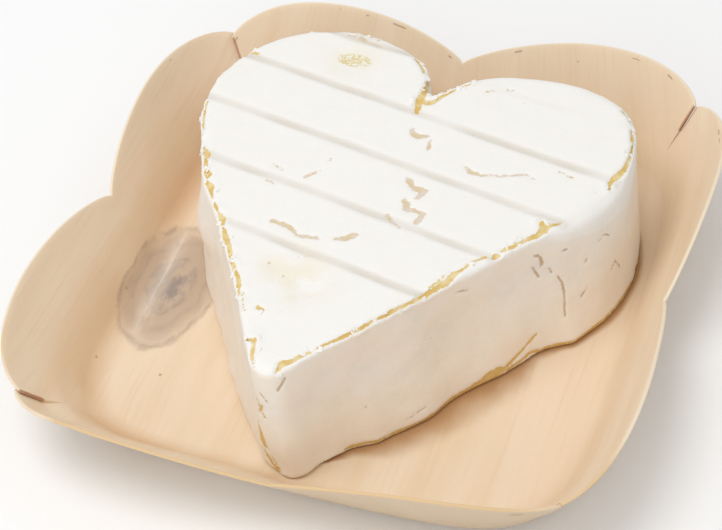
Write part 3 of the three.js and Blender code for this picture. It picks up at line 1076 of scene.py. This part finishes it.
def drawKnot(tree, look, colour, x, y, sheet, wobble, streak):
    # rings round a dark heart, with a pale streak along it
    knotX = (x - look["knotPlace"][0]) / look["knotSize"][0]
    knotY = (y - look["knotPlace"][1]) / look["knotSize"][1]
    ring = (knotX * knotX + knotY * knotY).math("SQRT") + wobble * 0.35
    smear = noiseWire(tree, scaledVector(tree, sheet, (1, 0.5, 1)), 3 * mm, 4, 0.6)
    colour = mixed(tree, ring.eased(1.12, 0.72) * look["knotHaloAmount"], colour, look["knotHalo"])
    for size, width, amount in look["knotRings"]:
        line = (ring - size).math("ABSOLUTE").eased(width, 0) * smear.eased(0.3, 0.6)
        colour = mixed(tree, line * amount, colour, look["knotRing"])
    heart = ring.eased(0.6, 0.15) * smear.eased(0.36, 0.56)
    colour = mixed(tree, heart * look["knotHeartAmount"], colour, look["knot"])
    offLine = (knotX + 0.22 + knotY * 0.08 + wobble * 0.1).math("ABSOLUTE")
    haze = offLine.eased(0.3, 0) * ring.eased(1.1, 0.7) * smear.eased(0.3, 0.6)
    colour = mixed(tree, haze * look["knotLightAmount"], colour, look["knotLight"])
    line = offLine.eased(0.08, 0) * ring.eased(1.0, 0.8) * streak.eased(0.4, 0.6)
    return mixed(tree, line * look["knotLightAmount"], colour, look["knotLight"])


def drawSpecks(tree, look, colour, wobble):
    where = objectCoordinates(tree)
    for x, y, z, size in woodSpecks:
        gap = tree.nodes.new("ShaderNodeVectorMath")
        gap.operation = "DISTANCE"
        tree.links.new(where, gap.inputs[0])
        gap.inputs[1].default_value = (x * mm, y * mm, z * mm)
        speck = (Wire(tree, gap.outputs["Value"]) / (size * mm) + wobble * 1.5).eased(1.2, 0.5)
        colour = mixed(tree, speck * look["speckAmount"], colour, look["crack"])
    return colour


def makeVeneerMaterial(look):
    material, tree, shader = newMaterial("poplarVeneer")
    node = tree.nodes.new("ShaderNodeAttribute")
    node.attribute_name = "sheet"
    turned = tree.nodes.new("ShaderNodeMapping")        # grain runs along the tray's own Y
    turned.inputs["Rotation"].default_value = (0, 0, math.radians(-trayShape["turn"]))
    tree.links.new(node.outputs["Vector"], turned.inputs["Vector"])
    sheet = turned.outputs[0]
    parts = tree.nodes.new("ShaderNodeSeparateXYZ")
    tree.links.new(sheet, parts.inputs[0])
    x, y = Wire(tree, parts.outputs["X"]), Wire(tree, parts.outputs["Y"])

    streak = noiseWire(tree, scaledVector(tree, sheet, (1, 0.035, 1)), 0.9 * mm, 3)
    band = noiseWire(tree, scaledVector(tree, sheet, (1, 0.12, 1)), 9 * mm, 2)
    cloud = noiseWire(tree, sheet, 34 * mm, 2)
    wobble = noiseWire(tree, sheet, 7 * mm, 3) - 0.5
    fromRim = attributeWire(tree, "fromRim") / mm
    colour = mixed(tree, band.eased(0.3, 0.75), look["pale"], look["tan"])
    colour = mixed(tree, cloud.eased(0.42, 0.66) * 0.7, colour, look["pink"])
    colour = mixed(tree, streak.eased(0.5, 0.75) * 0.22, colour, look["grain"])
    # painted shade in the crease between the floor and the walls
    bent = attributeWire(tree, "bent") * (cloud.eased(0.3, 0.6) * 0.5 + 0.25)
    bent = bent * (x.eased(20 * mm, -40 * mm) * 0.75 + 0.25)        # painted crease shade, darkest on the left
    colour = mixed(tree, bent, colour, look["crease"])
    colour = drawKnot(tree, look, colour, x, y, sheet, wobble, streak)
    # painted contact shadow in the wood beside the cheese's foot
    contactShadow = (attributeWire(tree, "contactShadowFade") + (cloud - 0.5) * 0.6 + wobble * 0.5).eased(1.0, -0.05)
    colour = mixed(tree, contactShadow * look["contactShadowAmount"], colour, look["contactShadow"])
    # painted shadow in the gap of each corner slit, where one flap laps the next
    slit = (attributeWire(tree, "fromSlit") / mm + wobble * 0.8).eased(0.6, 0.1)
    colour = mixed(tree, slit * look["slitAmount"], colour, look["slit"])
    colour = drawSpecks(tree, look, colour, wobble)
    dash = ((fromRim - look["dashFromRim"]) + wobble * 1.2).math("ABSOLUTE").eased(0.3, 0.12)
    dash = dash * noiseWire(tree, sheet, 4.5 * mm, 1).eased(0.6, 0.64) * y.eased(40 * mm, 55 * mm)
    colour = mixed(tree, dash * look["dashAmount"], colour, look["crack"])
    # painted shade on the down-facing outer faces
    colour = mixed(tree, attributeWire(tree, "outer") * look["outerAmount"], colour, look["outer"])
    cutShade = mixed(tree, y.eased(-48 * mm, -62 * mm), look["cutEdge"], look["cutTan"])
    colour = mixed(tree, fromRim.eased(0.5, 0.1), colour, cutShade)
    tree.links.new(colour, shader.inputs["Base Color"])
    shader.inputs["Roughness"].default_value = look["roughness"]
    shader.inputs["Specular IOR Level"].default_value = look["shine"]
    addBump(tree, shader, streak, look["grainHeight"], 0.3)
    return material


# flakes of rind standing along the splits
rindFlakes = {
    "perSquareMetre": 900000.0,
    "size": 0.75 * mm,
    "sizeSpread": (0.4, 1.3),   # smallest and largest share of the size
    "narrowness": 0.7,
    "thinness": 0.3,
    "tilt": 0.5,                # radians either way
    "spin": 3.1,
    "seed": 5,
}


def makeFlakeTree(look):
    tree = bpy.data.node_groups.new("rindFlakes", "GeometryNodeTree")
    tree.interface.new_socket("Geometry", in_out="INPUT", socket_type="NodeSocketGeometry")
    tree.interface.new_socket("Geometry", in_out="OUTPUT", socket_type="NodeSocketGeometry")
    for name, default in (
        ("density", look["perSquareMetre"]), ("size", look["size"]), ("thinness", look["thinness"]),
    ):
        nodeNumber(tree, name, default)
    given = tree.nodes.new("NodeGroupInput")
    flaky = tree.nodes.new("GeometryNodeInputNamedAttribute")
    flaky.data_type = "FLOAT"
    flaky.inputs["Name"].default_value = "flaky"
    amount = Wire(tree, flaky.outputs["Attribute"]) * Wire(tree, given.outputs["density"])
    scatter = tree.nodes.new("GeometryNodeDistributePointsOnFaces")
    scatter.inputs["Seed"].default_value = look["seed"]
    tree.links.new(given.outputs["Geometry"], scatter.inputs["Mesh"])
    tree.links.new(amount.socket, scatter.inputs["Density"])
    flake = tree.nodes.new("GeometryNodeMeshIcoSphere")
    flake.inputs["Subdivisions"].default_value = 1
    tree.links.new(given.outputs["size"], flake.inputs["Radius"])
    size = tree.nodes.new("FunctionNodeRandomValue")
    size.data_type = "FLOAT"
    size.inputs[2].default_value, size.inputs[3].default_value = look["sizeSpread"]
    size.inputs["Seed"].default_value = look["seed"]
    grown = Wire(tree, size.outputs[1])
    scale = combine(tree, grown, grown * look["narrowness"], Wire(tree, given.outputs["thinness"]))
    tilt = tree.nodes.new("FunctionNodeRandomValue")
    tilt.data_type = "FLOAT_VECTOR"
    tilt.inputs[0].default_value = (-look["tilt"], -look["tilt"], -look["spin"])
    tilt.inputs[1].default_value = (look["tilt"], look["tilt"], look["spin"])
    tilt.inputs["Seed"].default_value = look["seed"] + 1
    turned = tree.nodes.new("FunctionNodeRotateRotation")
    turned.rotation_space = "LOCAL"
    tree.links.new(scatter.outputs["Rotation"], turned.inputs["Rotation"])
    tree.links.new(tilt.outputs[0], turned.inputs["Rotate By"])
    copies = tree.nodes.new("GeometryNodeInstanceOnPoints")
    tree.links.new(scatter.outputs["Points"], copies.inputs["Points"])
    tree.links.new(flake.outputs["Mesh"], copies.inputs["Instance"])
    tree.links.new(turned.outputs[0], copies.inputs["Rotation"])
    tree.links.new(scale, copies.inputs["Scale"])
    whole = tree.nodes.new("GeometryNodeRealizeInstances")
    tree.links.new(copies.outputs[0], whole.inputs[0])
    finish = tree.nodes.new("GeometryNodeSetMaterial")
    finish.inputs["Material"].default_value = bpy.data.materials["whiteRind"]
    tree.links.new(whole.outputs[0], finish.inputs["Geometry"])
    result = tree.nodes.new("NodeGroupOutput")
    tree.links.new(finish.outputs[0], result.inputs[0])
    return tree


def makeFlakes(cheese, look):
    flakes = linkMesh("rindFlakes", cheese.data.copy())
    modifier = flakes.modifiers.new("scatter", "NODES")
    modifier.node_group = makeFlakeTree(look)
    setInputs(modifier, {
        "density": look["perSquareMetre"], "size": look["size"], "thinness": look["thinness"],
    })
    bakeModifiers(flakes)
    # the flakes are plain white rind from the top face, far from every split and scar
    mesh = flakes.data
    plain = {"edge": 9, "aboveBase": 30}
    plain.update(dict.fromkeys(("rimSplit", "topScar", "sideScar", "baseSplit"), farOutside))
    for name, value in plain.items():
        if name in mesh.attributes:
            mesh.attributes.remove(mesh.attributes[name])
        storeFloats(mesh, name, np.full(len(mesh.vertices), value))
    return flakes


makeVeneerMaterial(veneerLook)
tray = makeTray(trayShape, trayWalls)
print("tray pressed:", len(tray.data.polygons), "faces")
heart = heartOutline(cheeseShape)
rindMaterial = makeRindMaterial(rindLook)
markTray(tray, heart)
cheese = makeCheeseBody(cheeseShape, heart)
carveCheese(cheese, heart, rindRelief, rackMarks)
cheese.data.materials.append(rindMaterial)
print("cheese made:", len(cheese.data.polygons), "faces")
flakes = makeFlakes(cheese, rindFlakes)
print("flakes made:", len(flakes.data.polygons), "faces")

for piece, node, slot in (
    (cheese, "cheese", "rind"),
    (flakes, "cheese", "rind"),
    (tray, "veneer_tray", "poplar_veneer"),
):
    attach(piece, "root")
    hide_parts(node)
